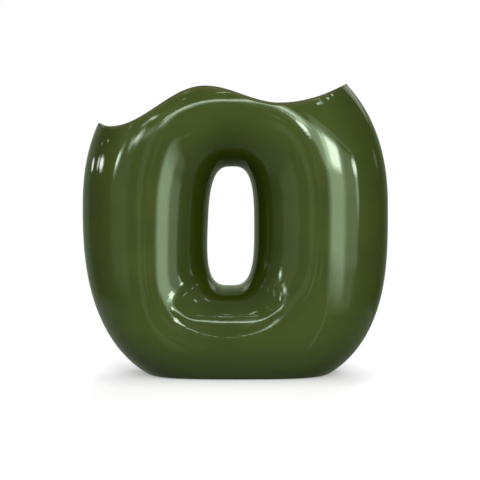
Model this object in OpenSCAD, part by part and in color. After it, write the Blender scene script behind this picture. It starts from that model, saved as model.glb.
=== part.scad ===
// Ring vase in stoneware: a hollow ring around an upright slot, cut open at the top by a wavy lip.
// Two pressed half shells meet face to face on the middle plane and stand on a slab with glued pads.
// +Z is up, the front looks along -Y, and the origin is on the table under the middle of the body.

/* [Body] */
// Width across the widest point
body_w = 280; // [250:1:310]
// Depth from the front crest to the back crest
body_d = 104; // [90:1:120]
// Thickness of the clay wall
wall = 5; // [4:0.5:7]
// Height of the widest point above the table
waist_z = 152.5; // [146:0.5:158]
// Rise of the closed outline above the widest point, before the mouth is cut
dome_rise = 151; // [146:1:160]
// Drop of the closed outline below the widest point, before the foot is cut
belly_drop = 168; // [163:1:178]
// Squareness of the shoulders, where 2 is an ellipse
dome_power = 2.25; // [2:0.05:2.6]
// Squareness of the belly, where 2 is an ellipse
belly_power = 2.7; // [2.3:0.1:3.2]
// Sideways drift of the belly towards +X at its lowest point
belly_drift = 3; // [0:0.5:5]
// Squareness of the ring's own section at the foot, where 2 is an ellipse
foot_power = 3.2; // [2:0.1:3.6]
// How much straighter the lower funnel runs on the left, as squareness added there
funnel_left = 4; // [0:0.1:5]
// The same on the right
funnel_right = 0.6; // [0:0.1:5]

/* [Slot through the middle] */
// Width of the slot at its narrowest
slot_w = 42.5; // [34:0.5:56]
// Height of the slot at its narrowest
slot_h = 110; // [90:1:120]
// Sideways place of the slot's middle
slot_x = -4; // [-10:0.5:10]
// Sideways lean of the slot's top end towards +X
slot_lean = 1; // [0:0.5:4]
// Height of the slot's middle above the table
slot_z = 134; // [126:1:142]
// Squareness of the slot's ends, where 2 is an ellipse
slot_power = 3.1; // [2:0.1:4]
// How much narrower the slot is towards its top, as a share of its width
slot_taper = 0.05; // [0:0.01:0.1]

/* [Wave of the lip] */
// Height of the left tip
left_tip_z = 229; // [218:0.5:236]
// Place of the dip next to the left tip
left_dip_x = -110; // [-113:0.5:-98]
// Height of the dip next to the left tip
left_dip_z = 225; // [218:0.5:232]
// Place of the hump
hump_x = -27; // [-40:0.5:-14]
// Height of the hump
hump_z = 260; // [248:0.5:268]
// Place of the dip right of the hump
right_dip_x = 39; // [26:0.5:52]
// Height of the dip right of the hump
right_dip_z = 245; // [238:0.5:252]
// Place of the right tip
right_tip_x = 100; // [92:0.5:106]
// Height of the right tip
right_tip_z = 264; // [256:0.5:270]
// Place of the left tip
left_tip_x = -124; // [-130:0.5:-118]
// Height of the rounding on the lip
lip_round = 2.5; // [1:0.5:3]

/* [Foot] */
// Thickness of the slab under the shells
slab_t = 8; // [6:0.5:11]
// Radius where the slab turns under
foot_round = 2; // [1:0.5:4]
// Width of the flat foot that touches first when the pads are gone
foot_rim = 9; // [6:0.5:14]
// Depth of the hollow under the slab
foot_hollow = 2; // [1:0.5:3]
// Gap that the pads leave between the foot and the table
foot_gap = 0.6; // [0.3:0.1:1.5]
// Diameter of one pad
pad_d = 12; // [8:0.5:16]

/* [Hidden] */

// Place of the pads as shares of the foot's half width and half depth
pad_across_share = 0.52;
pad_along_share = 0.34;
// How strongly lines gather near the two tips, from 0 for evenly to 1 for the most
gather_share = 0.95;

// Steps along the right or left side, along the lip and along the foot
side_steps = 18;
lip_steps = 34;
foot_steps = 14;
// Steps across the outside of the ring, across its inside and over the lip
outside_steps = 14;
inside_steps = 10;
lip_round_steps = 4;
// Steps of the rounding under the slab, and halvings of a search
foot_round_steps = 4;
halvings = 30;

body_half_d = body_d / 2;

function signed_pow(value, power) = sign(value) * pow(abs(value), power);
function ease(t) = (1 - cos(180 * t)) / 2;

// Front view place on the line from the slot to the outline: the angle picks the line, along is the
// share of it from the slot outwards, and inset sets both ends back into the clay
function front_place(angle, along, inset) =
    let (
        low = sin(angle) < 0,
        power = slot_power * (1 - along) + (low ? belly_power : dome_power) * along,
        funnel = low ? funnel_right + (funnel_left - funnel_right) * (1 - cos(angle)) / 2 : 0,
        side = signed_pow(cos(angle), 2 / power),
        up = signed_pow(sin(angle), 2 / (power + funnel * funnel_share(along))),
        slot_edge = [
            slot_x + slot_lean * up + (slot_w / 2 * (1 - slot_taper * up) + inset) * side,
            slot_z + (slot_h / 2 + inset) * up
        ],
        outline_edge = [
            (body_w / 2 - inset) * side + (low ? belly_drift * ease(-up) : 0),
            waist_z + ((low ? belly_drop : dome_rise) - inset) * up
        ]
    )
    slot_edge * (1 - along) + outline_edge * along;

// Strength of the funnel's straightness along a line: none at both ends, 1 at a fifth of the way
function funnel_share(along) = along * pow(1 - along, 4) / (0.2 * pow(0.8, 4));

// Squareness of the ring's section on a line: an ellipse at the sides and the top, fuller at the foot
function section_power(angle) = 2 + (foot_power - 2) * pow(max(0, -sin(angle)), 2);

// Height of the lip above the table, before its rounding
function lip_height(x) =
    (x < left_dip_x
        ? left_dip_z + (left_tip_z - left_dip_z) * pow((left_dip_x - x) / (left_dip_x - left_tip_x), 2)
    : x < hump_x
        ? left_dip_z + (hump_z - left_dip_z) * ease((x - left_dip_x) / (hump_x - left_dip_x))
    : x < right_dip_x
        ? hump_z + (right_dip_z - hump_z) * ease((x - hump_x) / (right_dip_x - hump_x))
    : right_dip_z + (right_tip_z - right_dip_z) * pow((x - right_dip_x) / (right_tip_x - right_dip_x), 2))
    - lip_round;

function above_lip(angle, along, inset) =
    let (place = front_place(angle, along, inset))
    place[1] - lip_height(place[0]);

// Share of the line at which it leaves the clay through the lip
function lip_share(angle, inset, low, high, left) =
    left == 0 ? (low + high) / 2
    : let (middle = (low + high) / 2)
        above_lip(angle, middle, inset) > 0
            ? lip_share(angle, inset, low, middle, left - 1)
            : lip_share(angle, inset, middle, high, left - 1);

// Angle at which the outer outline reaches the lip, between an angle under it and one over it
function tip_angle(under, over, inset, left) =
    left == 0 ? (under + over) / 2
    : let (middle = (under + over) / 2)
        above_lip(middle, 1, inset) > 0
            ? tip_angle(under, middle, inset, left - 1)
            : tip_angle(middle, over, inset, left - 1);

// Angle at which the outer outline reaches a height near the foot, on the right side
function foot_angle(height, inset) =
    asin(signed_pow((height - waist_z) / (belly_drop - inset), belly_power / 2));

// Share of the line at which it comes down to a height near the foot
function foot_share(angle, height, inset, low = 0.5, high = 1, left = halvings) =
    left == 0 ? (low + high) / 2
    : let (middle = (low + high) / 2)
        front_place(angle, middle, inset)[1] < height
            ? foot_share(angle, height, inset, low, middle, left - 1)
            : foot_share(angle, height, inset, middle, high, left - 1);

// Steps between two angles, even or gathered near both ends
function spread(first, last, steps, gather) =
    [for (i = [0:steps])
        let (t = i / steps)
        first + (last - first) * (t + (ease(t) - t) * gather)];

// Angles along the foot at a height, from the left end to the right end
function foot_angles(height, inset) =
    let (foot = foot_angle(height, inset))
    spread(180 - foot, 360 + foot, foot_steps, gather_share);

// Every line around the ring, as [angle, share of the line that is clay]
function ring_lines(inset, height) =
    let (
        foot = foot_angle(height, inset),
        right_tip = tip_angle(0, 90, inset, halvings),
        left_tip = tip_angle(180, 90, inset, halvings),
        right_angles = spread(foot, right_tip, side_steps, 0),
        lip_angles = spread(right_tip, left_tip, lip_steps, gather_share),
        left_angles = spread(left_tip, 180 - foot, side_steps, 0),
        low_angles = foot_angles(height, inset)
    )
    concat(
        [for (i = [0:side_steps]) [right_angles[i], 1]],
        [for (i = [1:lip_steps - 1]) [lip_angles[i], lip_share(lip_angles[i], inset, 0.5, 1, halvings)]],
        [for (i = [0:side_steps]) [left_angles[i], 1]],
        [for (i = [1:foot_steps - 1]) [low_angles[i], foot_share(low_angles[i], height, inset)]]
    );

// Turns from the slot outwards: even steps, then the turn at which the line ends
function turns(last_turn, steps) =
    let (step = 180 / steps, whole = ceil(last_turn / step - 0.4))
    concat([for (i = [0:whole - 1]) i * step], [last_turn]);

// Front surface along one line: half of the ring's section, which the lip or the foot may cut short
function front_line(line, inset, steps) =
    let (power = section_power(line[0]))
    [for (turn = turns(acos(signed_pow(1 - 2 * line[1], power / 2)), steps))
        let (place = front_place(line[0], (1 - signed_pow(cos(turn), 2 / power)) / 2, inset))
        [place[0], -(body_half_d - inset) * pow(sin(turn), 2 / power), place[1]]];

function last_of(list) = list[len(list) - 1];

// Points across the edge between the outer and the inner surface, raised to a round on the lip
function edge_line(outer, inner, raise) =
    [for (i = [1:lip_round_steps - 1])
        let (t = ease(i / lip_round_steps))
        outer * (1 - t) + inner * t + [0, 0, raise * sin(180 * i / lip_round_steps)]];

function on_lip(i) = i >= side_steps && i <= side_steps + lip_steps;
function run(first, count) = [for (i = [0:count - 1]) first + i];

// Triangles between two neighbouring rows of points, ending in a fan where one row is shorter
function strip(a, b) =
    [for (i = [0:max(len(a), len(b)) - 2])
        let (
            a0 = a[min(i, len(a) - 1)],
            a1 = a[min(i + 1, len(a) - 1)],
            b0 = b[min(i, len(b) - 1)],
            b1 = b[min(i + 1, len(b) - 1)]
        )
        each concat(a0 == a1 ? [] : [[a0, b0, a1]], b0 == b1 ? [] : [[b0, b1, a1]])];

// Front half of the hollow ring as one closed skin: outside, lip edge, inside and slot edge
module half_shell() {
    outsides = [for (line = ring_lines(0, slab_t)) front_line(line, 0, outside_steps)];
    insides = [for (line = ring_lines(wall, slab_t)) front_line(line, wall, inside_steps)];
    edges = [for (i = [0:len(outsides) - 1])
        edge_line(last_of(outsides[i]), last_of(insides[i]), on_lip(i) ? lip_round : 0)];
    columns = [for (i = [0:len(outsides) - 1]) concat(outsides[i], edges[i], insides[i])];
    starts = [for (i = 0, total = 0; i < len(columns); total = total + len(columns[i]), i = i + 1) total];

    // Point numbers of each column's outside and inside, both from the slot outwards
    out_runs = [for (i = [0:len(columns) - 1]) run(starts[i], len(outsides[i]))];
    in_runs = [for (i = [0:len(columns) - 1])
        run(starts[i] + len(outsides[i]) + len(edges[i]), len(insides[i]))];
    rim_runs = [for (i = [0:len(columns) - 1])
        concat(run(last_of(out_runs[i]), len(edges[i]) + 1), [last_of(in_runs[i])])];
    faces = [for (a = [0:len(columns) - 1])
        let (b = (a + 1) % len(columns))
        each concat(
            strip(out_runs[a], out_runs[b]),
            strip(rim_runs[a], rim_runs[b]),
            strip(in_runs[b], in_runs[a]),
            strip([in_runs[a][0], out_runs[a][0]], [in_runs[b][0], out_runs[b][0]])
        )];
    polyhedron(points = [for (column = columns) each column], faces = faces);
}

// Half of the body's level section at a height, from its right end to its left end along the front
function front_section(height) =
    let (angles = foot_angles(height, 0))
    [for (i = [foot_steps:-1:0])
        let (
            along = i == 0 || i == foot_steps ? 1 : foot_share(angles[i], height, 0),
            place = front_place(angles[i], along, 0),
            power = section_power(angles[i])
        )
        [place[0], -body_half_d * pow(1 - pow(abs(1 - 2 * along), power), 1 / power)]];

// Whole level section, drawn in towards its middle by inset
function section_ring(height, shape_height, inset) =
    let (
        front = front_section(shape_height),
        middle_x = (front[0][0] + front[foot_steps][0]) / 2,
        half_x = (front[0][0] - front[foot_steps][0]) / 2,
        half_y = max([for (p = front) -p[1]]),
        shrink_x = 1 - inset / half_x,
        shrink_y = 1 - inset / half_y
    )
    concat(
        [for (i = [0:foot_steps])
            [middle_x + (front[i][0] - middle_x) * shrink_x, front[i][1] * shrink_y, height]],
        [for (i = [foot_steps - 1:-1:1])
            [middle_x + (front[i][0] - middle_x) * shrink_x, -front[i][1] * shrink_y, height]]
    );

foot_half_w = (front_section(foot_gap)[0][0] - front_section(foot_gap)[foot_steps][0]) / 2;
foot_middle_x = (front_section(foot_gap)[0][0] + front_section(foot_gap)[foot_steps][0]) / 2;
foot_half_d = max([for (p = front_section(foot_gap)) -p[1]]);

module front_shell() {
    color([0.26, 0.32, 0.14]) half_shell();
}

module back_shell() {
    color([0.26, 0.32, 0.14]) mirror([0, 1, 0]) half_shell();
}

// Slab that closes the body below, with a turned-under edge and a shallow hollow beneath
module base_slab() {
    hollow_z = foot_gap + foot_hollow;
    round_top = foot_gap + foot_round;
    rings = concat(
        [section_ring(slab_t, slab_t, 0)],
        [for (i = [0:foot_round_steps])
            let (
                theta = 90 * i / foot_round_steps,
                height = round_top - foot_round * sin(theta)
            )
            section_ring(height, height, foot_round * (1 - cos(theta)))],
        [section_ring(foot_gap, foot_gap, foot_round + foot_rim)],
        [section_ring(hollow_z, foot_gap, foot_round + foot_rim)]
    );
    count = len(rings[0]);
    last = (len(rings) - 1) * count;
    points = [for (ring = rings) each ring];
    sides = [for (r = [0:len(rings) - 2]) for (i = [0:count - 1])
        let (a = r * count + i, b = r * count + (i + 1) % count)
        each [[a, b, a + count], [b, b + count, a + count]]];
    top = [for (i = [1:count - 2]) [0, i + 1, i]];
    under = [for (i = [1:count - 2]) [last, last + i, last + i + 1]];
    color([0.55, 0.47, 0.34]) polyhedron(points = points, faces = concat(sides, top, under));
}

// Four soft pads glued into the hollow, reaching down to the table
module foot_pads() {
    color([0.75, 0.74, 0.7])
        for (across = [-1, 1]) for (along = [-1, 1])
            translate([
                foot_middle_x + across * foot_half_w * pad_across_share,
                along * foot_half_d * pad_along_share,
                0
            ])
            cylinder(d = pad_d, h = foot_gap + foot_hollow, $fn = 48);
}

front_shell();
back_shell();
base_slab();
foot_pads();
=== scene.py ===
import math

import bpy
import numpy as np
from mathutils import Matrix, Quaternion, Vector


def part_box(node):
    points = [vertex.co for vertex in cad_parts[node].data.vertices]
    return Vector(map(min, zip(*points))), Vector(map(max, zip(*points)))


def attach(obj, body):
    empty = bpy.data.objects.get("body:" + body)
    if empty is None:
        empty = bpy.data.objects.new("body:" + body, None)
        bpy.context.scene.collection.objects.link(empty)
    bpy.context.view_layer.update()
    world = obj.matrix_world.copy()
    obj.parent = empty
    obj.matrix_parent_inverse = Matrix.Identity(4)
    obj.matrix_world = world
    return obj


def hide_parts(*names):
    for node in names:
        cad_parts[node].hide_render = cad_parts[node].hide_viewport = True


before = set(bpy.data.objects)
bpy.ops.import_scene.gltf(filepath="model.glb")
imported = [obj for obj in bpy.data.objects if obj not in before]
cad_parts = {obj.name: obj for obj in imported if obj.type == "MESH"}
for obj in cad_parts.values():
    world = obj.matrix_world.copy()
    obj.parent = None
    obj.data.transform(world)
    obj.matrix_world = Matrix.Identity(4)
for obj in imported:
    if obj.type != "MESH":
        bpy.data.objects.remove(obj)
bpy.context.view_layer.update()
print("frame loaded:", sorted(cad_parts))

# the hollow ring, in metres, as in the part's source
ring = {
    "width": 0.27996, "depth": 0.104, "wall": 0.005,
    "waistHeight": 0.1525, "domeRise": 0.151, "bellyDrop": 0.168,
    "domePower": 2.25, "bellyPower": 2.7, "bellyDrift": 0.003, "footPower": 3.2,
    "funnelLeft": 4.0, "funnelRight": 0.6,
    "slotWidth": 0.0425, "slotTall": 0.110, "slotSide": -0.004, "slotLean": 0.001,
    "slotHeight": 0.134, "slotPower": 3.1, "slotTaper": 0.05,
    "lipRound": 0.0025, "lipRaise": 0.0023, "cutHeight": 0.008,
}

# the wave of the lip: side and height of each turning point
lip = {
    "leftTip": (-0.124, 0.229), "leftDip": (-0.110, 0.225), "hump": (-0.027, 0.260),
    "rightDip": (0.039, 0.245), "rightTip": (0.100, 0.264),
}

# how finely the shells are drawn, and the slight unevenness of hand-pressed clay
clay = {
    "sideLines": 110, "lipLines": 220, "footLines": 84, "gather": 0.95,
    "acrossSteps": 90, "insideSteps": 36, "lipSteps": 10,
    "halvings": 40, "measureSteps": 6001, "measureShares": (0.2, 0.8),
    "unevenness": 0.00010,
    # waves: how many around the ring, how fast across it, and where they start
    "waves": [(3, 2.1, 0.0), (7, -1.7, 1.0), (11, 4.3, 2.0), (5, 7.0, 0.6)],
    # shallow pressed lines around the bowl: middle, half width and half height, depth, softness
    "lines": {
        "bowlLine": (-0.007, 0.075, 0.053, 0.0345, 0.00050, 0.055),
        "outerLine": (-0.005, 0.075, 0.068, 0.0450, 0.00046, 0.055),
    },
    "lineFade": 0.02,
}


def signedPow(value, power):
    return np.sign(value) * np.abs(value) ** power


def ease(t):
    return (1 - np.cos(np.pi * t)) / 2


def frontPlace(angle, along, inset):
    # the line from the slot to the outline that an angle picks, straighter in the lower funnel
    low = np.sin(angle) < 0
    outlinePower = np.where(low, ring["bellyPower"], ring["domePower"])
    power = ring["slotPower"] * (1 - along) + outlinePower * along
    funnel = ring["funnelRight"] + (ring["funnelLeft"] - ring["funnelRight"]) * (1 - np.cos(angle)) / 2
    # strongest a fifth of the way out
    funnel = np.where(low, funnel, 0) * along * (1 - along) ** 4 / (0.2 * 0.8 ** 4)
    side = signedPow(np.cos(angle), 2 / power)
    up = signedPow(np.sin(angle), 2 / (power + funnel))
    slotX = ring["slotSide"] + ring["slotLean"] * up
    slotX = slotX + (ring["slotWidth"] / 2 * (1 - ring["slotTaper"] * up) + inset) * side
    slotZ = ring["slotHeight"] + (ring["slotTall"] / 2 + inset) * up
    outX = (ring["width"] / 2 - inset) * side + np.where(low, ring["bellyDrift"] * ease(-up), 0)
    outZ = ring["waistHeight"] + (np.where(low, ring["bellyDrop"], ring["domeRise"]) - inset) * up
    return slotX * (1 - along) + outX * along, slotZ * (1 - along) + outZ * along


def sectionPower(angle):
    # an ellipse at the sides and the top, fuller at the foot
    return 2 + (ring["footPower"] - 2) * np.maximum(0, -np.sin(angle)) ** 2


def surfacePoint(angle, turn, inset):
    power = sectionPower(angle)
    x, z = frontPlace(angle, (1 - signedPow(np.cos(turn), 2 / power)) / 2, inset)
    return np.stack([x, -(ring["depth"] / 2 - inset) * signedPow(np.sin(turn), 2 / power), z], -1)


def lipLine(x):
    (tipX, tipZ), (dipX, dipZ), (humpX, humpZ) = lip["leftTip"], lip["leftDip"], lip["hump"]
    (lowX, lowZ), (endX, endZ) = lip["rightDip"], lip["rightTip"]
    height = np.select(
        [x < dipX, x < humpX, x < lowX],
        [dipZ + (tipZ - dipZ) * ((dipX - x) / (dipX - tipX)) ** 2,
         dipZ + (humpZ - dipZ) * ease((x - dipX) / (humpX - dipX)),
         humpZ + (lowZ - humpZ) * ease((x - humpX) / (lowX - humpX))],
        lowZ + (endZ - lowZ) * ((x - lowX) / (endX - lowX)) ** 2)
    return height - ring["lipRound"]


def halve(isOver, low, high):
    # closes in on the place between low and high where isOver starts
    low, high = np.broadcast_arrays(np.float64(low), np.float64(high))
    for _ in range(clay["halvings"]):
        middle = (low + high) / 2
        over = isOver(middle)
        low, high = np.where(over, low, middle), np.where(over, middle, high)
    return (low + high) / 2


def aboveLip(angle, along, inset):
    x, z = frontPlace(angle, along, inset)
    return z > lipLine(x)


def footAngle(height, inset):
    drop = (height - ring["waistHeight"]) / (ring["bellyDrop"] - inset)
    return math.asin(-abs(drop) ** (ring["bellyPower"] / 2))


def evenAngles(first, last, steps, gather):
    # angles at even lengths along an inner and an outer line, or gathered towards both ends
    dense = np.linspace(first, last, clay["measureSteps"])
    run = np.zeros(len(dense))
    for along in clay["measureShares"]:
        x, z = frontPlace(dense, along, 0)
        step = np.hypot(np.diff(x), np.diff(z))
        run[1:] += np.cumsum(step) / step.sum() / len(clay["measureShares"])
    t = np.linspace(0, 1, steps + 1)
    return np.interp(t + (ease(t) - t) * gather, run, dense)


def footShare(angle, height, inset):
    return halve(lambda along: frontPlace(angle, along, inset)[1] < height, 0.5 + 0 * angle, 1.0)


def ringLines(inset):
    # the lines across the shell: up the right side, along the lip, down the left side, along the foot
    height = ring["cutHeight"]
    foot = footAngle(height, inset)
    rightTip = float(halve(lambda a: aboveLip(a, 1, inset), 0.0, math.pi / 2))
    leftTip = float(halve(lambda a: aboveLip(a, 1, inset), math.pi, math.pi / 2))
    right = evenAngles(foot, rightTip, clay["sideLines"], 0)
    over = evenAngles(rightTip, leftTip, clay["lipLines"], clay["gather"])[1:-1]
    left = evenAngles(leftTip, math.pi - foot, clay["sideLines"], 0)
    low = evenAngles(math.pi - foot, 2 * math.pi + foot, clay["footLines"], clay["gather"])[1:-1]
    shares = [np.ones(len(right)), halve(lambda s: aboveLip(over, s, inset), 0.5 + 0 * over, 1.0),
              np.ones(len(left)), footShare(low, height, inset)]
    onLip = np.zeros(sum(map(len, shares)), bool)
    onLip[len(right) - 1:len(right) + len(over) + 1] = True
    return np.concatenate([right, over, left, low]), np.concatenate(shares), onLip


def uneven(angle, turn):
    # long shallow waves and lines that fade out at the seam, always into the clay
    wave = sum(np.sin(around * angle + across * turn + start) for around, across, start in clay["waves"])
    x, z = frontPlace(angle, (1 - signedPow(np.cos(turn), 2 / sectionPower(angle))) / 2, 0)
    dent = clay["unevenness"] * (1 + wave / len(clay["waves"]))
    for middleX, middleZ, wide, tall, depth, soft in clay["lines"].values():
        away = np.hypot((x - middleX) / wide, (z - middleZ) / tall) - 1
        lowHalf = np.clip((middleZ - z) / clay["lineFade"], 0, 1)
        dent = dent + depth * np.exp(-(away / soft) ** 2 / 2) * lowHalf
    return dent * np.sin(turn) ** 2


def shellGrid(inset, steps, side):
    angle, share, onLip = ringLines(inset)
    last = np.arccos(np.clip(signedPow(1 - 2 * share, sectionPower(angle) / 2), -1, 1))
    angle, turn = np.broadcast_arrays(angle[:, None], last[:, None] * np.linspace(0, 1, steps + 1))
    outward = 1 if inset == 0 else -1

    def place(a, t):
        return surfacePoint(a, t, inset + outward * uneven(a, t)) * np.array([1, side, 1])

    tiny = 1e-4
    normal = np.cross(place(angle + tiny, turn) - place(angle - tiny, turn),
                      place(angle, turn + tiny) - place(angle, turn - tiny))
    normal *= side * outward
    normal /= np.linalg.norm(normal, axis=-1, keepdims=True) + 1e-20
    return place(angle, turn), normal, onLip


def makeMesh(name, points, faces, normals=None, keep=None):
    mesh = bpy.data.meshes.new(name)
    mesh.from_pydata(points.tolist(), [], faces)
    mesh.polygons.foreach_set("use_smooth", [True] * len(mesh.polygons))
    if normals is not None:
        own = np.array([v.vector for v in mesh.vertex_normals])
        own[keep] = normals[keep]
        mesh.normals_split_custom_set_from_vertices(own.tolist())
    mesh.update()
    thing = bpy.data.objects.new(name, mesh)
    bpy.context.scene.collection.objects.link(thing)
    return thing


def halfShell(name, side):
    # the outside from the slot outwards, over the lip or the foot's edge, and the inside back again
    outer, outerNormal, onLip = shellGrid(0.0, clay["acrossSteps"], side)
    inner, innerNormal, _ = shellGrid(ring["wall"], clay["insideSteps"], side)
    inner, innerNormal = inner[:, ::-1], innerNormal[:, ::-1]
    t = np.arange(1, clay["lipSteps"]) / clay["lipSteps"]
    share = ease(t)[None, :, None]
    edge = outer[:, -1:] * (1 - share) + inner[:, :1] * share
    edge[..., 2] += np.where(onLip, ring["lipRaise"], 0)[:, None] * np.sin(np.pi * t)[None]
    rows = np.concatenate([outer, edge, inner], 1)
    normals = np.concatenate([outerNormal, 0 * edge, innerNormal], 1)
    keep = np.ones(rows.shape[:2], bool)
    firstEdge, lastEdge = outer.shape[1], outer.shape[1] + edge.shape[1]
    keep[:, firstEdge:lastEdge] = False
    keep[onLip, firstEdge - 1] = False
    keep[onLip, lastEdge] = False
    count, across = rows.shape[:2]
    index = np.arange(count * across).reshape(count, across)
    a, b = index, np.roll(index, -1, 0)
    quads = np.stack([a, b, np.roll(b, -1, 1), np.roll(a, -1, 1)], -1).reshape(-1, 4)
    if side < 0:
        quads = quads[:, ::-1]
    thing = makeMesh(name, rows.reshape(-1, 3), quads.tolist(), normals.reshape(-1, 3), keep.ravel())
    # the glaze runs thin over the lip
    thin = np.zeros(rows.shape[:2])
    thin[onLip, firstEdge:lastEdge] = glaze["lipTop"]
    for step, value in enumerate(glaze["lipShares"]):
        thin[onLip, firstEdge - 1 - step] = thin[onLip, lastEdge + step] = value
    thing.data.attributes.new("lipThin", "FLOAT", "POINT").data.foreach_set("value", thin.ravel())
    return thing


# the glaze: two greens in soft patches, with painted shade towards the foot and around the slot,
# browner and paler where it runs thin over the lip
glaze = {
    "deep": (0.041, 0.0620, 0.0035), "light": (0.051, 0.0730, 0.0044),
    "patchScale": 24.0, "patchDetail": 5.0, "patchSpan": (0.35, 0.65),
    # painted shade: a darker green, how far up from the foot it reaches, and how far out from the slot
    "paintedShade": (0.023, 0.035, 0.0022), "paintedShadeHeight": 0.046, "slotShadeReach": 0.048, "slotShadeShare": 0.84,
    "thin": (0.095, 0.095, 0.030), "lipTop": 0.8, "lipShares": (0.55, 0.30, 0.12),
    "tint": (0.74, 1.0, 0.70), "ior": 1.5, "roughness": (0.030, 0.060), "skinSpan": (0.3, 0.7),
    "waveScale": 26.0, "waveDetail": 1.0, "waveDepth": 0.00012,
    "skinScale": 420.0, "skinDetail": 2.0, "skinDepth": 0.000012,
}


class Wiring:
    # adds nodes to the tree of a material, a lamp or the world, and links them
    def __init__(self, owner):
        self.tree = owner.node_tree
        self.tree.nodes.clear()

    def add(self, kind, inputs=None, **settings):
        node = self.tree.nodes.new(kind)
        for key, value in settings.items():
            setattr(node, key, value)
        for key, value in (inputs or {}).items():
            if isinstance(value, bpy.types.NodeSocket):
                self.tree.links.new(value, node.inputs[key])
            else:
                node.inputs[key].default_value = value
        return node

    def math(self, operation, a, b=0.0):
        return self.add("ShaderNodeMath", {0: a, 1: b}, operation=operation).outputs[0]

    def spread(self, value, first, last, low=0.0, high=1.0, smooth=True):
        # low at first, high at last, and held beyond them
        kind = "SMOOTHSTEP" if smooth else "LINEAR"
        return self.add("ShaderNodeMapRange", {0: value, 1: first, 2: last, 3: low, 4: high},
                        interpolation_type=kind).outputs[0]

    def noise(self, place, scale, detail, **settings):
        inputs = {"Vector": place, "Scale": scale, "Detail": detail, **settings}
        return self.add("ShaderNodeTexNoise", inputs).outputs[0]

    def bump(self, height, depth, **settings):
        inputs = {"Height": height, "Strength": 1.0, "Distance": depth, **settings}
        return self.add("ShaderNodeBump", inputs).outputs[0]

    def finish(self, shader):
        self.add("ShaderNodeOutputMaterial", {"Surface": shader})

    def mix(self, share, a, b):
        node = self.add("ShaderNodeMix", data_type="RGBA")
        for socket, value in zip((node.inputs[0], node.inputs[6], node.inputs[7]), (share, a, b)):
            if isinstance(value, bpy.types.NodeSocket):
                self.tree.links.new(value, socket)
            else:
                socket.default_value = value if socket is node.inputs[0] else (*value, 1)
        return node.outputs[2]


def newMaterial(name):
    material = bpy.data.materials.new(name)
    material.use_nodes = True
    return material, Wiring(material)


def paintedSlotShade(wire, x, z):
    # painted shade around the slot: distance from the slot's middle line, then from its edge, fading
    # outwards
    above = wire.math("ABSOLUTE", wire.math("SUBTRACT", z, ring["slotHeight"]))
    straight = (ring["slotTall"] - ring["slotWidth"]) / 2
    above = wire.math("MAXIMUM", wire.math("SUBTRACT", above, straight), 0.0)
    beside = wire.math("SUBTRACT", x, ring["slotSide"])
    apart = wire.add("ShaderNodeCombineXYZ", {0: beside, 1: above}).outputs[0]
    apart = wire.add("ShaderNodeVectorMath", {0: apart}, operation="LENGTH").outputs["Value"]
    edge = ring["slotWidth"] / 2
    return wire.spread(apart, edge, edge + glaze["slotShadeReach"], glaze["slotShadeShare"], 0.0)


def makeGlaze():
    material, wire = newMaterial("olive_gloss_glaze")
    place = wire.add("ShaderNodeTexCoord").outputs["Object"]
    patch = wire.noise(place, glaze["patchScale"], glaze["patchDetail"])
    colour = wire.mix(wire.spread(patch, *glaze["patchSpan"]), glaze["deep"], glaze["light"])
    split = wire.add("ShaderNodeSeparateXYZ", {0: place})
    # painted shade: darker towards the foot and around the slot
    paintedShade = wire.spread(split.outputs[2], 0.0, glaze["paintedShadeHeight"], 1.0, 0.0)
    paintedShade = wire.math("MAXIMUM", paintedShade, paintedSlotShade(wire, split.outputs[0], split.outputs[2]))
    colour = wire.mix(paintedShade, colour, glaze["paintedShade"])
    lipThin = wire.add("ShaderNodeAttribute", attribute_name="lipThin").outputs["Fac"]
    colour = wire.mix(lipThin, colour, glaze["thin"])
    wave = wire.noise(place, glaze["waveScale"], glaze["waveDetail"])
    skin = wire.noise(place, glaze["skinScale"], glaze["skinDetail"])
    bump = wire.bump(skin, glaze["skinDepth"], Normal=wire.bump(wave, glaze["waveDepth"]))
    rough = wire.spread(skin, *glaze["skinSpan"], *glaze["roughness"], smooth=False)
    shader = wire.add("ShaderNodeBsdfPrincipled", {
        "Base Color": colour, "Roughness": rough, "IOR": glaze["ior"],
        "Specular Tint": (*glaze["tint"], 1), "Normal": bump})
    wire.finish(shader.outputs[0])
    return material


glazeMaterial = makeGlaze()
shells = []
for nodeName, side in (("front_shell", 1), ("back_shell", -1)):
    shell = halfShell(nodeName.replace("shell", "half"), side)
    shell.data.materials.append(glazeMaterial)
    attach(shell, "root")
    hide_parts(nodeName)
    shells.append(shell)
print("shells:", [len(s.data.polygons) for s in shells], "faces")

# the slab under the shells
slab = {
    "top": 0.008, "gap": 0.0006, "round": 0.002, "rim": 0.009, "hollow": 0.002,
    "glazeSkin": 0.0003, "glazeEnd": 72.0,  # degrees around the turned-under edge
    "sideSteps": 10, "roundSteps": 14, "clayRoundSteps": 18,
    "rimLine": 0.0015,  # a line on the flat rim that keeps the shading flat
    # the softened corners of the hollow: height over its rim or ceiling, and how far in from its wall
    "hollowRim": [(0, -0.0008), (0.0003, -0.0002), (0.0008, 0)],
    "hollowCeiling": [(-0.0006, 0), (-0.0001, 0.0004), (0, 0.0012)],
}


def sectionRing(height, shapeHeight, inset):
    # the outline of the body at one height, drawn at another and drawn in
    foot = footAngle(shapeHeight, 0)
    angle = evenAngles(math.pi - foot, 2 * math.pi + foot, clay["footLines"], clay["gather"])[::-1]
    along = np.clip(footShare(angle, shapeHeight, 0), 0, 1)
    along[0] = along[-1] = 1
    x, _ = frontPlace(angle, along, 0)
    power = sectionPower(angle)
    y = -ring["depth"] / 2 * (1 - np.abs(1 - 2 * along) ** power) ** (1 / power)
    middle, halfWide, halfDeep = (x[0] + x[-1]) / 2, (x[0] - x[-1]) / 2, -y.min()
    x, y = middle + (x - middle) * (1 - inset / halfWide), y * (1 - inset / halfDeep)
    x, y = np.concatenate([x, x[-2:0:-1]]), np.concatenate([y, -y[-2:0:-1]])
    return np.stack([x, y, np.full(len(x), height)], -1)


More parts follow.
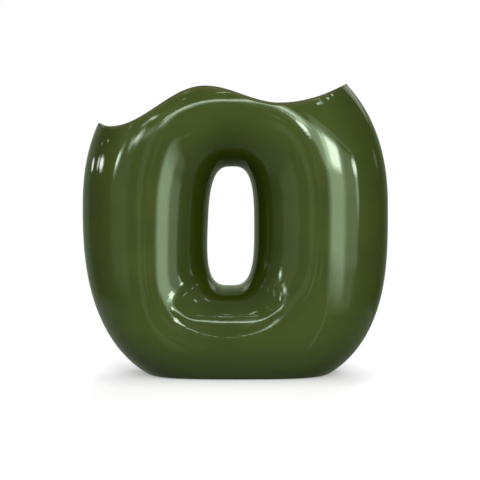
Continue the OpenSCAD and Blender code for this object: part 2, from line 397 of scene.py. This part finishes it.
def stackRings(name, rings, sharpRings):
    # a closed skin over rings of points, with hard edges along some of them
    count = len(rings[0])
    index = np.arange(len(rings) * count).reshape(len(rings), count)
    a, b = index[:-1], index[1:]
    quads = np.stack([a, b, np.roll(b, -1, 1), np.roll(a, -1, 1)], -1).reshape(-1, 4).tolist()
    faces = quads + [index[0].tolist(), index[-1][::-1].tolist()]
    thing = makeMesh(name, np.concatenate(rings), faces)
    corners = index[list(sharpRings)].tolist()
    sharp = {frozenset(pair) for corner in corners for pair in zip(corner, corner[1:] + corner[:1])}
    for edge in thing.data.edges:
        if frozenset(edge.vertices) in sharp:
            edge.use_edge_sharp = True
    return thing


def roundedEdge(first, last, steps, skin):
    top, radius = slab["gap"] + slab["round"], slab["round"]
    for theta in np.radians(np.linspace(first, last, steps + 1)):
        z = top - (radius - skin) * np.sin(theta)
        inset = radius - (radius - skin) * np.cos(theta)
        yield sectionRing(z, top - radius * np.sin(theta), inset)


roundTop = slab["gap"] + slab["round"]
sideHeights = np.linspace(slab["top"], roundTop, slab["sideSteps"] + 1)[:-1]


def makeSlabGlaze():
    # down the outside, around the turned-under edge, and back up behind the skin of glaze
    skin, under = slab["glazeSkin"], slab["top"] - slab["glazeSkin"]
    coat = [sectionRing(z, z, 0) for z in sideHeights]
    coat += list(roundedEdge(0, slab["glazeEnd"], slab["roundSteps"], 0))
    coat += list(roundedEdge(0, slab["glazeEnd"], slab["roundSteps"], skin))[::-1]
    coat += [sectionRing(z, z, skin) for z in sideHeights[::-1] if z < under]
    coat += [sectionRing(under, under, skin)]
    turnRow = len(sideHeights) + slab["roundSteps"]
    return stackRings("slab_glaze", coat, (0, turnRow, turnRow + 1, len(coat) - 1))


def makeSlabClay():
    skin, under, gap = slab["glazeSkin"], slab["top"] - slab["glazeSkin"], slab["gap"]
    core = [sectionRing(under, under, skin)]
    core += [sectionRing(z, z, skin) for z in sideHeights[1:]]
    core += list(roundedEdge(0, 90, slab["clayRoundSteps"], skin))
    core[-1][:, 2] = gap
    core += [sectionRing(gap, gap, slab["round"] + slab["rimLine"])]
    rimIn, ceiling = slab["round"] + slab["rim"], gap + slab["hollow"]
    core += [sectionRing(gap + up, gap, rimIn + further) for up, further in slab["hollowRim"]]
    core += [sectionRing(ceiling + up, gap, rimIn + further) for up, further in slab["hollowCeiling"]]
    return stackRings("slab_clay", core, (0,))


slabGlaze, slabClay = makeSlabGlaze(), makeSlabClay()
print("slab made")

# the clay where it isn't glazed: patches of two browns with dark specks
stoneware = {
    "pale": (0.36, 0.25, 0.14), "dark": (0.25, 0.165, 0.085), "speck": (0.10, 0.07, 0.045),
    "patchScale": 60.0, "speckScale": 700.0, "speckSpan": (0.10, 0.22),
    "grainScale": 900.0, "grainDepth": 0.00008, "grainSpan": (0.3, 0.7), "roughness": (0.76, 0.92),
    "detail": 4.0,
}


def makeStoneware():
    material, wire = newMaterial("bare_stoneware_clay")
    place = wire.add("ShaderNodeTexCoord").outputs["Object"]
    patch = wire.noise(place, stoneware["patchScale"], stoneware["detail"])
    colour = wire.mix(patch, stoneware["dark"], stoneware["pale"])
    speck = wire.add("ShaderNodeTexVoronoi", {"Vector": place, "Scale": stoneware["speckScale"]})
    offSpeck = wire.spread(speck.outputs["Distance"], *stoneware["speckSpan"], smooth=False)
    colour = wire.mix(offSpeck, stoneware["speck"], colour)
    grain = wire.noise(place, stoneware["grainScale"], stoneware["detail"])
    rough = wire.spread(grain, *stoneware["grainSpan"], *stoneware["roughness"], smooth=False)
    shader = wire.add("ShaderNodeBsdfPrincipled", {
        "Base Color": colour, "Roughness": rough, "Normal": wire.bump(grain, stoneware["grainDepth"])})
    wire.finish(shader.outputs[0])
    return material


slabGlaze.data.materials.append(glazeMaterial)
slabClay.data.materials.append(makeStoneware())
for piece, slotName in ((slabGlaze, "green_glaze"), (slabClay, "bare_stoneware")):
    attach(piece, "root")
    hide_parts("base_slab")

# the four felt pads glued into the hollow
pad = {
    "wide": 0.012, "round": 0.0005, "steps": 64, "roundAngles": (30, 60, 90),
    "felt": (0.62, 0.59, 0.53), "feltDark": (0.47, 0.44, 0.39), "sheen": 0.4,
    "fibreScale": 1600.0, "fibreDetail": 5.0, "fibreTwist": 1.5, "fibreDepth": 0.00025,
    "fibreSpan": (0.3, 0.7), "roughness": (0.88, 1.0),
}


def makeFelt():
    material, wire = newMaterial("pressed_felt")
    place = wire.add("ShaderNodeTexCoord").outputs["Object"]
    fibre = wire.noise(place, pad["fibreScale"], pad["fibreDetail"], Distortion=pad["fibreTwist"])
    rough = wire.spread(fibre, *pad["fibreSpan"], *pad["roughness"], smooth=False)
    shader = wire.add("ShaderNodeBsdfPrincipled", {
        "Base Color": wire.mix(fibre, pad["feltDark"], pad["felt"]), "Roughness": rough,
        "Sheen Weight": pad["sheen"], "Normal": wire.bump(fibre, pad["fibreDepth"])})
    wire.finish(shader.outputs[0])
    return material


def makePad(low, high):
    # one disc with a softly turned lower edge, filling its CAD cylinder
    middle, radius, soft = (low + high) / 2, (high.x - low.x) / 2, pad["round"]
    profile = [(radius, high.z), (radius, low.z + soft)]
    for theta in np.radians(pad["roundAngles"]):
        profile.append((radius - soft * (1 - math.cos(theta)), low.z + soft * (1 - math.sin(theta))))
    turn = np.linspace(0, 2 * np.pi, pad["steps"], endpoint=False)[::-1]
    rings = [np.stack([middle.x + r * np.cos(turn), middle.y + r * np.sin(turn), np.full(len(turn), z)], -1)
             for r, z in profile]
    return stackRings("pad", rings, (0,))


padLow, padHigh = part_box("foot_pads")
discs = []
for lowX in (padLow.x, padHigh.x - pad["wide"]):
    for lowY in (padLow.y, padHigh.y - pad["wide"]):
        low = Vector((lowX, lowY, padLow.z))
        discs.append(makePad(low, Vector((lowX + pad["wide"], lowY + pad["wide"], padHigh.z))))
pads = discs[0]
with bpy.context.temp_override(active_object=pads, object=pads, selected_objects=discs,
                               selected_editable_objects=discs):
    bpy.ops.object.join()
pads.name = "felt_pads"
pads.data.materials.append(makeFelt())
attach(pads, "root")
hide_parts("foot_pads")
print("pads made")

# where the camera stands, and its lens
view = {
    "side": 0.0043, "back": 1.150, "height": 0.175,
    "sensor": 36, "lens": 93.855, "shift": -0.12125, "nearest": 0.05, "farthest": 30,
}
cameraData = bpy.data.cameras.new("camera")
cameraData.sensor_width, cameraData.lens, cameraData.shift_y = view["sensor"], view["lens"], view["shift"]
cameraData.clip_start, cameraData.clip_end = view["nearest"], view["farthest"]
camera = bpy.data.objects.new("camera", cameraData)
camera.location = (view["side"], -view["back"], view["height"])
camera.rotation_euler = (math.pi / 2, 0, 0)
bpy.context.scene.collection.objects.link(camera)
bpy.context.scene.camera = camera

# the studio, as seen from the middle of the vase. Each lamp: side angle, height angle, width and height
# in degrees, brightness where white is 1, distance in metres, soft share of the edge, roll and form
studio = {
    "aim": (0, 0, 0.15),
    "watts": 4,  # of an area lamp, for each square metre at brightness 1
    "hotFrom": 5.0, "hotColour": (0.98, 0.85, 1.0),
    # lamps and panels that only the gloss shows, named by their own side or by what shows them
    "lamps": {
        "keyPanel": (37.4, 2.7, 43.5, 23.3, 1.25, 1.05, 0.27, -3, "box"),
        "keyCore": (26.7, 2.5, 29.7, 34.3, 2.75, 1.05, 0.58, -6, "box"),
        "keyRight": (56.5, 5.2, 5.8, 17.8, 2.89, 1.05, 0.55, 6, "box"),
        "keyHot": (28.7, 9.3, 16.5, 8.7, 13.50, 1.05, 0.55, 1, "box"),
        "keyCorner": (55.4, 8.8, 9.9, 6.9, 12.08, 1.05, 0.79, -15, "oval"),
        "keyLobe": (10.0, 9.3, 22.7, 9.7, 2.92, 0.97, 0.39, -6, "box"),
        "keyFive": (5.9, 6.2, 7.7, 3.5, 16.10, 0.96, 0.66, 26, "oval"),
        "keyColumn": (20.1, 8.5, 5.9, 7.2, 4.03, 1.13, 0.40, 6, "box"),
        "keyHalo": (35.9, 16.1, 45.6, 1.8, 0.67, 1.15, 0.40, -6, "box"),
        "keyGlow": (36.9, -11.8, 41.4, 12.6, 0.65, 1.05, 0.65, -4, "box"),
        "rightStrip": (17.2, -17.5, 3.5, 21.8, 0.43, 1.06, 0.72, -1, "box"),
        "leftStrip": (-11.3, 0.2, 9.9, 44.4, 0.31, 1.30, 0.45, 6, "box"),
        "middleStrip": (0.7, 4.6, 1.4, 19.0, 0.99, 1.30, 1.00, -1, "oval"),
        "middleLeft": (-2.8, -5.2, 3.5, 6.6, 0.67, 1.30, 1.00, -1, "oval"),
        "middleRight": (4.7, -6.2, 2.3, 2.2, 0.89, 1.30, 1.00, 0, "oval"),
        "leftA": (-111.6, 9.6, 8.6, 5.2, 5.71, 1.40, 0.52, -3, "oval"),
        "leftB": (-86.2, 10.8, 13.5, 6.9, 12.93, 1.43, 0.79, -7, "oval"),
        "leftB2": (-95.2, 10.9, 7.6, 6.0, 5.40, 1.42, 0.69, 4, "oval"),
        "leftS1": (-99.1, 17.5, 5.0, 1.2, 1.60, 1.42, 0.64, 4, "oval"),
        "leftS2": (-84.4, 19.1, 5.9, 1.3, 2.69, 1.43, 0.63, -4, "oval"),
        "leftC": (-52.8, 10.8, 9.0, 4.7, 10.09, 1.42, 0.68, 41, "oval"),
        "leftC2": (-51.8, 10.7, 17.8, 7.2, 4.02, 1.42, 0.73, 42, "oval"),
        "leftD": (-31.9, 13.7, 9.6, 3.6, 5.89, 1.40, 0.72, 3, "oval"),
        "leftE": (-19.4, 11.3, 21.4, 4.7, 1.34, 1.38, 0.75, -13, "oval"),
        "leftF": (-29.3, 18.5, 10.5, 2.4, 3.42, 1.40, 0.68, -9, "oval"),
        "leftG": (-10.6, 20.2, 1.6, 1.1, 7.43, 1.38, 0.86, -2, "oval"),
        "leftG2": (-9.2, 10.3, 3.2, 1.6, 7.61, 1.37, 0.76, -18, "oval"),
        "panel": (-43.7, 4.5, 34.2, 39.9, 0.28, 1.40, 0.39, -4, "box"),
        "arcGlow": (0.5, 8.8, 26.0, 4.6, 6.50, 1.30, 0.60, 0, "oval"),
        "backPanelRight": (144.0, 34.0, 34.0, 30.0, 0.55, 1.40, 0.30, 4, "box"),
        "backPanelLeft": (-150.0, 34.0, 26.0, 30.0, 0.55, 1.40, 0.40, -4, "box"),
        "bowlRight1": (-28.7, 13.7, 11.6, 7.8, 6.07, 1.30, 1.00, -3, "oval"),
        "bowlRight2": (-37.1, 13.7, 8.3, 7.0, 4.14, 1.29, 1.00, -1, "oval"),
        "bowlRight3": (-22.9, 18.4, 12.2, 2.4, 9.12, 1.30, 0.84, -16, "oval"),
        "bowlRight4": (-49.5, 22.6, 4.2, 3.3, 1.88, 1.27, 0.76, 0, "oval"),
        "bowlRight5": (-13.3, 28.7, 3.8, 3.1, 1.85, 1.30, 0.89, -1, "oval"),
        "bowlRight6": (-2.7, 29.7, 1.6, 10.8, 4.83, 1.30, 0.52, 22, "oval"),
        "bowlRight7": (-80.3, 39.4, 13.2, 4.5, 1.51, 1.23, 0.59, 3, "oval"),
        "bowlRight8": (-82.2, 27.7, 9.5, 5.8, 2.01, 1.23, 0.35, 1, "oval"),
        "bowlRight9": (-37.8, 27.0, 16.9, 4.2, 1.21, 1.27, 0.35, 1, "oval"),
        "bowlRight10": (-53.2, 34.6, 10.2, 4.2, 0.71, 1.25, 0.60, 20, "oval"),
        "bowlRight11": (-4.9, 7.2, 11.3, 3.7, 3.33, 1.33, 0.91, -38, "oval"),
        "bowlLeft1": (44.5, 35.4, 3.6, 5.2, 4.25, 1.25, 0.82, 22, "oval"),
        "bowlLeft2": (18.5, 54.8, 6.9, 5.3, 5.84, 1.25, 0.70, -1, "oval"),
        "bowlLeft3": (28.0, 74.6, 11.5, 3.4, 3.70, 1.23, 0.73, 8, "oval"),
        "bowlLeft4": (-1.2, 20.8, 2.4, 1.9, 9.09, 1.31, 1.00, -3, "oval"),
        "shoulder1": (39.2, 33.0, 10.6, 1.6, 8.11, 1.42, 0.50, 27, "oval"),
        "shoulder2": (60.0, 40.2, 6.3, 1.9, 11.16, 1.43, 0.65, 9, "oval"),
        "shoulder3": (75.5, 43.2, 5.4, 1.8, 7.26, 1.43, 0.72, 11, "oval"),
        "rightEdge": (106.5, 11.4, 11.7, 8.6, 0.60, 1.42, 0.75, -2, "oval"),
    },
    # large soft lamps that the gloss doesn't show
    "fills": {
        "fillHigh": (10.0, 19.0, 46.0, 42.0, 10.40, 1.80, 1.00, 0, "oval"),
        "fillFront": (0.0, 10.0, 56.0, 36.0, 4.60, 1.80, 1.00, 0, "oval"),
        "fillLeft": (-100.0, 12.0, 52.0, 36.0, 1.60, 1.80, 1.00, 0, "oval"),
        "fillBack": (172.0, 25.0, 64.0, 50.0, 7.00, 2.00, 1.00, 0, "oval"),
    },
    # brightness of the room around, from behind on the left through the front to behind on the right
    "horizon": [(-180, 0.3), (-165, 0.42), (-150, 0.42), (-135, 0.4), (-122, 0.4), (-112, 0.2),
                (-90, 0.22), (-70, 0.32), (-60, 0.45), (-45, 0.5), (-20, 0.55), (0, 0.55), (40, 0.6),
                (55, 0.5), (65, 0.42), (80, 0.28), (110, 0.15), (125, 0.15), (140, 0.25), (150, 0.3),
                (180, 0.35)],
    "tableTop": [(-180, 0.2), (-160, 0.3), (-150, 0.4), (-120, 0.5), (-90, 0.52), (-60, 0.58),
                 (0, 0.5), (30, 0.55), (60, 0.48), (100, 0.45), (130, 0.42), (150, 0.3), (180, 0.2)],
    "ceiling": [(-180, 0.35), (-100, 0.2), (-60, 0.35), (0, 0.5), (30, 0.65), (60, 0.5), (80, 0.35),
                (110, 0.3), (130, 0.3), (180, 0.4)],
    "behindFrom": 120, "behindTint": (0.84, 1, 0.70),
    "tableEdge": (-19.0, -14.0), "ceilingStart": (20.0, 60.0), "tableFade": (25.0, 75.0, 0.35),
    "diffuseShare": 0.06,
}


def softLamp(name, sideAngle, upAngle, wide, tall, bright, distance, soft, roll, form):
    a, e = math.radians(sideAngle), math.radians(upAngle)
    away = Vector((math.sin(a) * math.cos(e), -math.cos(a) * math.cos(e), math.sin(e)))
    data = bpy.data.lights.new(name, "AREA")
    data.shape = "RECTANGLE"
    data.size = 2 * distance * math.tan(math.radians(wide) / 2)
    data.size_y = 2 * distance * math.tan(math.radians(tall) / 2)
    data.energy = bright * studio["watts"] * data.size * data.size_y
    data.use_nodes = True
    wire = Wiring(data)
    # it dims towards its edge, either all around or at its four sides
    across = wire.add("ShaderNodeSeparateXYZ", {0: wire.add("ShaderNodeNewGeometry").outputs["Parametric"]})
    spans = [wire.math("MULTIPLY", wire.math("SUBTRACT", across.outputs[i], 0.5), 2.0) for i in (0, 1)]
    if form == "oval":
        squares = [wire.math("MULTIPLY", span, span) for span in spans]
        reaches = [wire.math("SQRT", wire.math("ADD", *squares))]
    else:
        reaches = [wire.math("ABSOLUTE", span) for span in spans]
    fades = [wire.spread(reach, 1 - soft, 1.0, 1.0, 0.0) for reach in reaches]
    fade = wire.math("MULTIPLY", *fades) if len(fades) > 1 else fades[0]
    glow = wire.add("ShaderNodeEmission", {"Strength": fade})
    wire.add("ShaderNodeOutputLight", {"Surface": glow.outputs[0]})
    lamp = bpy.data.objects.new(name, data)
    lamp.location = Vector(studio["aim"]) + away * distance
    facing = (-away).to_track_quat("-Z", "Y")
    lamp.rotation_mode = "QUATERNION"
    lamp.rotation_quaternion = Quaternion(away, math.radians(roll)) @ facing
    lamp.visible_camera = False
    bpy.context.scene.collection.objects.link(lamp)
    return lamp


for lampName, numbers in studio["lamps"].items():
    lamp, bright = softLamp(lampName, *numbers), numbers[4]
    lamp.visible_diffuse = False
    if bright > studio["hotFrom"]:
        # the glaze's green tint would colour the small bright ones, which look white
        lamp.data.color = studio["hotColour"]
        lamp.data.energy /= studio["hotColour"][1]
for lampName, numbers in studio["fills"].items():
    softLamp(lampName, *numbers).visible_glossy = False


def aroundRamp(wire, share, stops):
    node = wire.add("ShaderNodeValToRGB", {0: share})
    elements = node.color_ramp.elements
    for degrees, bright in stops[1:-1]:
        elements.new((degrees + 180) / 360)
    for element, (degrees, bright) in zip(elements, stops):
        element.position = (degrees + 180) / 360
        tint = studio["behindTint"] if abs(degrees) > studio["behindFrom"] else (1, 1, 1)
        element.color = (*[bright * part for part in tint], 1)
    return node.outputs[0]


def makeRoom():
    world = bpy.data.worlds.new("studio_room")
    bpy.context.scene.world = world
    world.use_nodes = True
    wire = Wiring(world)
    split = wire.add("ShaderNodeSeparateXYZ", {0: wire.add("ShaderNodeTexCoord").outputs["Generated"]})
    angle = wire.math("ARCTAN2", split.outputs[0], wire.math("MULTIPLY", split.outputs[1], -1.0))
    share = wire.math("ADD", wire.math("MULTIPLY", angle, 0.5 / math.pi), 0.5)
    height = wire.math("MULTIPLY", wire.math("ARCSINE", split.outputs[2]), 180 / math.pi)
    ramps = [aroundRamp(wire, share, studio[part]) for part in ("horizon", "tableTop", "ceiling")]
    horizon, tableTop, ceiling = ramps
    fadeFirst, fadeLast, fadeBy = studio["tableFade"]
    fade = wire.spread(height, -fadeLast, -fadeFirst, 1 - fadeBy, 1.0)
    tableGlow = wire.add("ShaderNodeVectorMath", {0: tableTop, 3: fade}, operation="SCALE").outputs[0]
    upper = wire.mix(wire.spread(height, *studio["ceilingStart"]), horizon, ceiling)
    around = wire.mix(wire.spread(height, *studio["tableEdge"]), tableGlow, upper)
    path = wire.add("ShaderNodeLightPath")
    colour = wire.mix(path.outputs["Is Camera Ray"], around, (1, 1, 1))
    soft = path.outputs["Is Diffuse Ray"]
    strength = wire.spread(soft, 0.0, 1.0, 1.0, studio["diffuseShare"], smooth=False)
    background = wire.add("ShaderNodeBackground", {"Color": colour, "Strength": strength})
    wire.add("ShaderNodeOutputWorld", {"Surface": background.outputs[0]})


makeRoom()

# a floor that stays white to the camera, with a soft shadow, and throws less light back than white would
table = {
    "radius": 3.0, "sides": 96, "fade": (0.35, 0.75),
    "colour": (0.16, 0.16, 0.16), "seenColour": (0.90, 0.90, 0.90), "cameraLift": 0.60,
    "contactReach": 0.052, "contactDark": 0.52, "contactSamples": 12,
}


def makeFloor():
    turn = np.linspace(0, 2 * np.pi, table["sides"], endpoint=False)
    points = np.stack([table["radius"] * np.cos(turn), table["radius"] * np.sin(turn), 0 * turn], -1)
    floor = makeMesh("floor", points, [list(range(len(turn)))])
    material, wire = newMaterial("white_floor")
    path = wire.add("ShaderNodeLightPath")
    seen = path.outputs["Is Camera Ray"]
    # darker where the foot and the overhanging sides come close
    near = wire.add("ShaderNodeAmbientOcclusion", {"Distance": table["contactReach"]},
                    samples=table["contactSamples"]).outputs["AO"]
    near = wire.spread(near, 0.0, 1.0, table["contactDark"], 1.0, smooth=False)
    seenColour = wire.mix(near, (0, 0, 0), table["seenColour"])
    matt = wire.add("ShaderNodeBsdfDiffuse", {"Color": wire.mix(seen, table["colour"], seenColour)})
    lift = wire.math("MULTIPLY", wire.math("MULTIPLY", seen, near), table["cameraLift"])
    glow = wire.add("ShaderNodeEmission", {"Strength": lift})
    both = wire.add("ShaderNodeAddShader", {0: matt.outputs[0], 1: glow.outputs[0]})
    # farther off it runs into the white background without an edge
    place = wire.add("ShaderNodeTexCoord").outputs["Object"]
    away = wire.add("ShaderNodeVectorMath", {0: place}, operation="LENGTH").outputs["Value"]
    far = wire.math("MULTIPLY", wire.spread(away, *table["fade"]), seen)
    white = wire.add("ShaderNodeEmission", {"Strength": 1.0})
    whole = wire.add("ShaderNodeMixShader", {0: far, 1: both.outputs[0], 2: white.outputs[0]})
    # gloss shows the pale room behind the floor in its place
    clear = wire.add("ShaderNodeBsdfTransparent")
    inGloss = path.outputs["Is Glossy Ray"]
    choice = wire.add("ShaderNodeMixShader", {0: inGloss, 1: whole.outputs[0], 2: clear.outputs[0]})
    wire.finish(choice.outputs[0])
    floor.data.materials.append(material)


makeFloor()
bpy.context.scene.view_settings.view_transform = "Standard"
print("studio ready")
